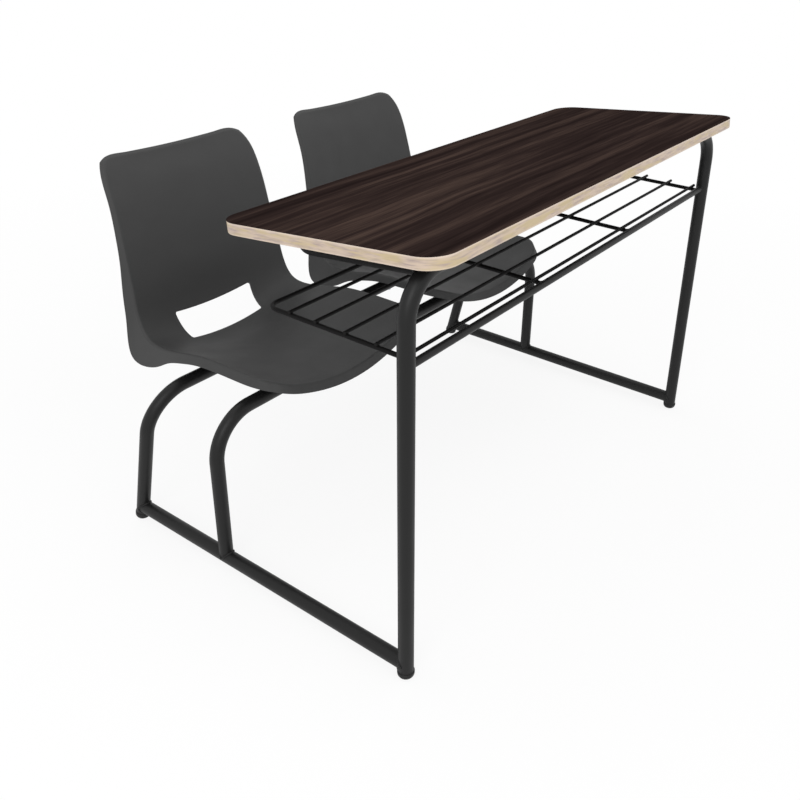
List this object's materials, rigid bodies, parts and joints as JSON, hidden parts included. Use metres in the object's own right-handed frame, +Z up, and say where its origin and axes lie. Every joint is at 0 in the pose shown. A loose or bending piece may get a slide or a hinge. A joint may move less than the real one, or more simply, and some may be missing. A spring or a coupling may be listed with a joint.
{
  "type": "double school desk",
  "caption": "Double school desk: a sloped wood-grain desktop with a wire book shelf and moulded seat shells, all on one welded frame of bent black steel tube.",
  "frame": {"origin": "on the floor, under the middle of the whole piece's bounding box", "axes": "+X along the desktop's length, the desktop towards -Y and the seats towards +Y, +Z up"},
  "size_m": [1.1318, 0.9031, 0.7595],
  "materials": {
    "dark_wood_laminate": "satin laminate printed with a dark brown wood grain that runs along the desk",
    "pale_edge_band": "smooth plastic edge band printed as pale blotchy wood",
    "chipboard": "raw chipboard, covered on every side",
    "balance_sheet": "plain dull balancing sheet on the underside",
    "black_paint": "satin black powder coat on steel tube, rod and plate",
    "shell_plastic": "fine matte grain, dark grey moulded polypropylene",
    "cap_plastic": "dull black moulded plastic",
    "zinc_steel": "zinc-plated steel screws"
  },
  "bodies": {
    "root": {"desktop_core": "chipboard", "desktop_laminate": "dark_wood_laminate", "desktop_balance_sheet": "balance_sheet", "desktop_edge_band": "pale_edge_band", "desktop_tabs_front": "black_paint", "desktop_tabs_rear": "black_paint", "desktop_screws": "zinc_steel", "front_stretcher": "black_paint", "base_tube_left": "black_paint", "base_tube_right": "black_paint", "shelf_rim_rod": "black_paint", "shelf_cross_rod_left": "black_paint", "shelf_cross_rod_right": "black_paint", "foot_cap_front_left": "cap_plastic", "foot_cap_front_right": "cap_plastic", "foot_cap_rear_left": "cap_plastic", "foot_cap_rear_right": "cap_plastic", "seat_shell_left": "shell_plastic", "seat_shell_right": "shell_plastic", "seat_screws_left": "zinc_steel", "seat_screws_right": "zinc_steel", "shelf_wire_1": "black_paint", "shelf_wire_2": "black_paint", "shelf_wire_3": "black_paint", "shelf_wire_4": "black_paint", "shelf_wire_5": "black_paint", "front_leg_left": "black_paint", "front_bend_left": "black_paint", "front_bar": "black_paint", "front_bend_right": "black_paint", "front_leg_right": "black_paint", "support_arm_left": "black_paint", "support_bend_left": "black_paint", "support_bar": "black_paint", "support_bend_right": "black_paint", "support_arm_right": "black_paint", "seat_front_leg_left": "black_paint", "seat_front_bend_left": "black_paint", "seat_front_bar": "black_paint", "seat_front_bend_right": "black_paint", "seat_front_leg_right": "black_paint", "seat_rear_leg_left": "black_paint", "seat_rear_bend_left": "black_paint", "seat_rear_bar": "black_paint", "seat_rear_bend_right": "black_paint", "seat_rear_leg_right": "black_paint"}
  },
  "joints": []
}
